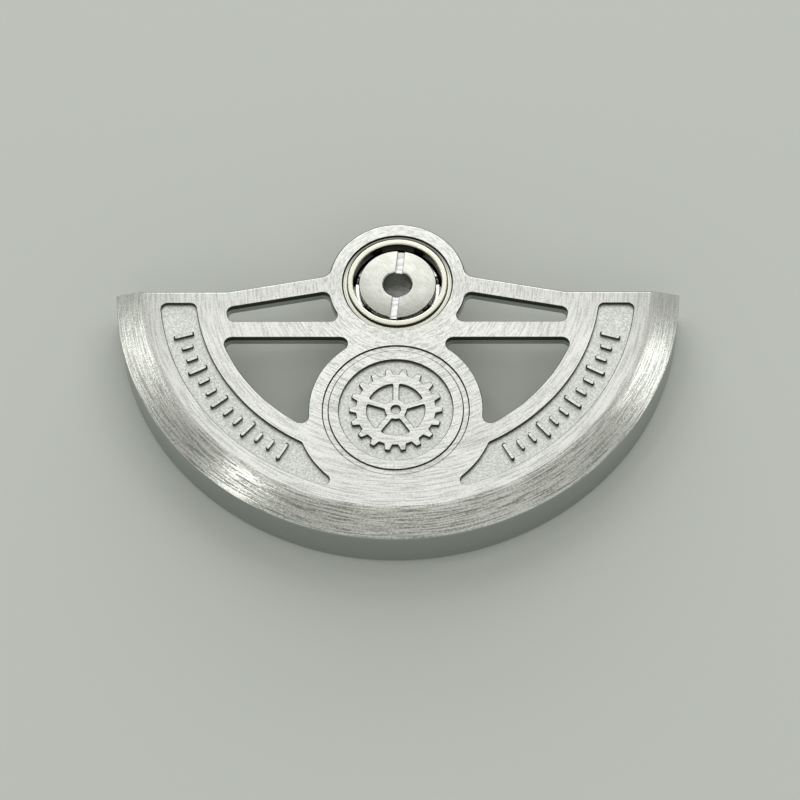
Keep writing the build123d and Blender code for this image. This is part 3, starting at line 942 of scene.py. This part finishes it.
# Polished screw steel: bright, with hair lines that run across the head in circles, short faint scratches
# from handling, and soft patches of oil.
screw_steel, tree, shader = new_material("screw_steel_polished")
rings = pattern(tree, (3.0, 22.0), 3.0)
scratches = pattern(tree, (3.0, 16.0, 3.0), 1.0, turn=35)
patches = pattern(tree, (1.5, 1.5, 1.5))
scratches = add(tree, "ShaderNodeMapRange", {0: scratches, 1: 0.32, 2: 0.46, 3: 0.9, 4: 1.0})
patches = add(tree, "ShaderNodeMapRange", {0: patches, 1: 0.35, 2: 0.65, 3: 0.94, 4: 1.03})
shade = add(tree, "ShaderNodeMix", {0: rings, 6: colour("cacbc3"), 7: colour("dfe0d8")}, data_type="RGBA")
for wear in (scratches, patches):
    shade = add(tree, "ShaderNodeVectorMath", {0: shade, "Scale": wear}, operation="SCALE")
rough = add(tree, "ShaderNodeMapRange", {0: patches, 1: 0.94, 2: 1.03, 3: 0.23, 4: 0.18})
bump = add(tree, "ShaderNodeBump", {"Height": rings, "Strength": 0.2, "Distance": 0.006 * MM})
connect(tree, shader, {"Base Color": shade, "Roughness": rough, "Normal": bump, "Metallic": 1.0})

# The slot's floor, milled after the polish: bright and half matt, with cross lines from the cutter.
milled_steel = metal("screw_steel_milled", "e2e3df", "ffffff", 0.4, (1.0, 5.0, 1.0), (0.6, 0.03),
                     stops=(0.35, 0.5))

# The bore, drilled: painted dark as painted shade of the deep hole, with a lighter bottom.
bore_shade_steel = metal("screw_steel_bored_and_shaded", "6c6e68", "93958e", 0.3, (3.0, 10.0))

POLISHED, SLOTTED, BORE_SHADE = range(3)


def half_arc(radius):
    """Points of a circle over one half of the head, between the slot's broken edges."""
    gap = SLOT_WIDTH / 2
    lean = asin((gap + HEAD_BREAK) / radius)
    end = sqrt(radius ** 2 - gap ** 2)
    angles = [lean + (pi - 2 * lean) * i / 60 for i in range(61)]
    return [Vector((end, gap))] + on_circle((0, 0), radius, angles) + [Vector((-end, gap))]


def slotted_circle(radius):
    """A full circle with the corners of both halves and of the slot's ends."""
    loop = []
    for side in (1, -1):
        half = [side * p for p in half_arc(radius)]
        loop += half + arc_points(Vector((0, 0)), half[-1], -half[0], 1, 6)[1:-1]
    return loop


screw = bmesh.new()
rows = [(HOLE_RADIUS, SLOT_LEVEL), (HOLE_RADIUS, HEAD_TOP - HOLE_CHAMFER)]
inner, outer = HOLE_RADIUS + HOLE_CHAMFER, HEAD_RADIUS - HEAD_CORNER
for share in [i / 8 for i in range(9)]:
    rows.append((inner + share * (outer - inner), HEAD_TOP - HEAD_DOME * share ** 2))
rows += [(HEAD_RADIUS, HEAD_TOP - HEAD_DOME - HEAD_CORNER), (HEAD_RADIUS, SLOT_LEVEL)]
for side in (1, -1):
    arcs = []
    for row, (radius, height) in enumerate(rows):
        arc = ring(screw, [side * p for p in half_arc(radius)], height)
        if 1 < row < len(rows) - 2:
            for end in (0, -1):
                arc[end].co.z -= HEAD_BREAK * MM
        arcs.append(arc)
    skirt(screw, arcs[:2], BORE_SHADE, closed=False)
    skirt(screw, arcs[1:], POLISHED, closed=False)
    # The slot's walls take the bore's dark steel: a painted shadow line.
    for end in (0, -1):
        screw.faces.new([arc[end] for arc in arcs]).material_index = BORE_SHADE
    rim, bore = half_arc(HEAD_RADIUS), half_arc(HOLE_RADIUS)
    strip = arc_points(Vector((0, 0)), side * rim[-1], -side * rim[0], 1, 6)
    strip += arc_points(Vector((0, 0)), -side * bore[0], side * bore[-1], -1, 6)
    lid(screw, [ring(screw, strip, SLOT_LEVEL)], SLOTTED)
outer_loop, hole_loop = slotted_circle(HEAD_RADIUS), slotted_circle(HOLE_RADIUS)
head_under = ring(screw, [p * (1 - HEAD_BREAK / HEAD_RADIUS) for p in outer_loop], HEAD_BOTTOM)
head_wall = [ring(screw, outer_loop, level) for level in (SLOT_LEVEL, HEAD_BOTTOM + HEAD_BREAK)]
skirt(screw, head_wall + [head_under])
thread_end = THREAD_TOP - THREAD_TURNS * THREAD_PITCH
body = [
    (SHANK_RADIUS, HEAD_BOTTOM),
    (SHANK_RADIUS, SLEEVE_LIFT + SHANK_BREAK),
    (SHANK_RADIUS - SHANK_BREAK, SLEEVE_LIFT),
    (POST_RADIUS, SLEEVE_LIFT),
    (POST_RADIUS, THREAD_TOP),
    (THREAD_ROOT, THREAD_TOP - THREAD_RUNOUT),
    (THREAD_ROOT, thread_end + THREAD_RUNOUT),
    (POST_RADIUS, thread_end),
    (POST_RADIUS, POST_BOTTOM + POST_CHAMFER),
    (POST_RADIUS - POST_CHAMFER, POST_BOTTOM),
]
levels = [ring(screw, round_loop(radius), level) for radius, level in body]
lid(screw, [head_under, levels[0]])
skirt(screw, levels)
lid(screw, [levels[-1]])
bore_rings = [ring(screw, hole_loop, level) for level in (SLOT_LEVEL, HOLE_BOTTOM)]
skirt(screw, bore_rings, BORE_SHADE)
lid(screw, [bore_rings[1]], SLOTTED)
bmesh.ops.rotate(screw, verts=screw.verts, matrix=Matrix.Rotation(SLOT_TURN, 3, "Z"))

thread_sizes = {"Root Radius": THREAD_ROOT * MM, "Crest Radius": (POST_RADIUS - CREST_DEPTH) * MM,
                "Pitch": THREAD_PITCH * MM, "Turns": float(THREAD_TURNS + 1),
                "Top": (THREAD_TOP + THREAD_LEAD) * MM, "Crest Width": CREST_WIDTH * MM}
tree, size = node_tree("screw_thread", thread_sizes)
fall = add(tree, "ShaderNodeMath", {0: size["Pitch"], 1: size["Turns"]}, operation="MULTIPLY")
path_sizes = {"Resolution": 96, "Rotations": size["Turns"], "Start Radius": size["Root Radius"],
              "End Radius": size["Root Radius"], "Height": fall}
path = add(tree, "GeometryNodeCurveSpiral", path_sizes)
drop = add(tree, "ShaderNodeMath", {0: size["Top"], 1: fall}, operation="SUBTRACT")
lift = add(tree, "ShaderNodeCombineXYZ", {2: drop})
path = add(tree, "GeometryNodeTransform", {0: path, "Translation": lift})
path = add(tree, "GeometryNodeSetCurveNormal", {0: path}, mode="Z_UP")
depth = add(tree, "ShaderNodeMath", {0: size["Crest Radius"], 1: size["Root Radius"]}, operation="SUBTRACT")
ridge_sizes = {"Bottom Width": size["Pitch"], "Top Width": size["Crest Width"], "Height": depth,
               "Offset": 0.0}
ridge = add(tree, "GeometryNodeCurvePrimitiveQuadrilateral", ridge_sizes, mode="TRAPEZOID")
close_tree(tree, add(tree, "GeometryNodeCurveToMesh", {0: path, 1: ridge, "Fill Caps": True}), screw_steel)
thread = grown("thread", tree, thread_sizes)
screw.from_mesh(thread.data)
bpy.data.objects.remove(thread)
screw_piece = closed_mesh("screw", screw, screw_steel, milled_steel, bore_shade_steel)
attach(screw_piece, "screw")
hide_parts("fixing_screw")

# Floor, light and camera. The rotor lies on a plain pale card, with a window behind it, a strip of light on
# either side and a small lamp overhead.
FLOOR_HALF = 2.0
FLOOR_Z = (RIM_BOTTOM - 0.01) * MM
floor_mesh = bpy.data.meshes.new("floor")
corners = [(FLOOR_HALF * x, FLOOR_HALF * y, FLOOR_Z) for x, y in ((-1, -1), (1, -1), (1, 1), (-1, 1))]
floor_mesh.from_pydata(corners, [], [(0, 1, 2, 3)])
floor = in_scene("floor", floor_mesh)
paper, tree, shader = new_material("pale_matt_card")
connect(tree, shader, {"Base Color": colour("ced2cb"), "Roughness": 0.8})
floor_mesh.materials.append(paper)
floor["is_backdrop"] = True

world = bpy.data.worlds.new("studio")
bpy.context.scene.world = world
world.use_nodes = True
background = world.node_tree.nodes["Background"]
connect(world.node_tree, background, {"Color": colour("adaeab"), "Strength": 1.0})


def softbox(name, azimuth, elevation, width, height, glow, away=0.5):
    """A rectangular soft light that faces the rotor, some metres away: its place and size are in degrees."""
    light = bpy.data.lights.new(name, "AREA")
    light.shape = "RECTANGLE"
    light.size, light.size_y = 2 * away * tan(radians(width / 2)), 2 * away * tan(radians(height / 2))
    light.energy = glow * pi * light.size * light.size_y
    lamp = in_scene(name, light)
    turn, rise = radians(azimuth), radians(elevation)
    where = Vector((sin(turn) * cos(rise), cos(turn) * cos(rise), sin(rise)))
    lamp.location = where * away
    lamp.rotation_euler = where.to_track_quat("Z", "Y").to_euler()


softbox("window", azimuth=0, elevation=37, width=56, height=34, glow=1.2)
softbox("near window", azimuth=0, elevation=58, width=16, height=8, glow=1.1, away=0.15)
softbox("low window", azimuth=0, elevation=12, width=90, height=16, glow=3.0)
softbox("right strip", azimuth=63, elevation=51, width=10, height=15, glow=2.6)
softbox("left strip", azimuth=-57, elevation=50, width=8, height=14, glow=2.5)
softbox("ceiling lamp", azimuth=-85, elevation=69, width=4, height=4, glow=17.0)
softbox("ceiling", azimuth=90, elevation=80, width=40, height=40, glow=0.2)
softbox("fill", azimuth=180, elevation=30, width=90, height=40, glow=0.5)

# The camera stands where the photo was taken from. Its focal length is in pixels of the picture.
PICTURE_WIDTH = 800
SENSOR_WIDTH = 36.0
FOCAL_LENGTH = 3188.82
YAW, PITCH, ROLL = radians(-2.71618), radians(61.11072), radians(-2.39249)
CAMERA_SPOT = (3.5665, -77.449, 129.0523 + TOP)
camera_data = bpy.data.cameras.new("camera")
camera_data.sensor_width = SENSOR_WIDTH
camera_data.lens = SENSOR_WIDTH * FOCAL_LENGTH / PICTURE_WIDTH
camera_data.clip_start = 0.001
camera = in_scene("camera", camera_data)
forward = Vector((sin(YAW) * cos(PITCH), cos(YAW) * cos(PITCH), -sin(PITCH)))
level = Vector((cos(YAW), -sin(YAW), 0))
upright = level.cross(forward)
right = cos(ROLL) * level + sin(ROLL) * upright
up = -sin(ROLL) * level + cos(ROLL) * upright
spot = Vector(CAMERA_SPOT) * MM
camera.matrix_world = Matrix([(*column, 0) for column in (right, up, -forward)] + [(*spot, 1)]).transposed()
bpy.context.scene.camera = camera
bpy.context.scene.view_settings.view_transform = "Standard"

size = {"cad": [list(corner) for corner in cad_box], "visual": [list(corner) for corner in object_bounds()]}
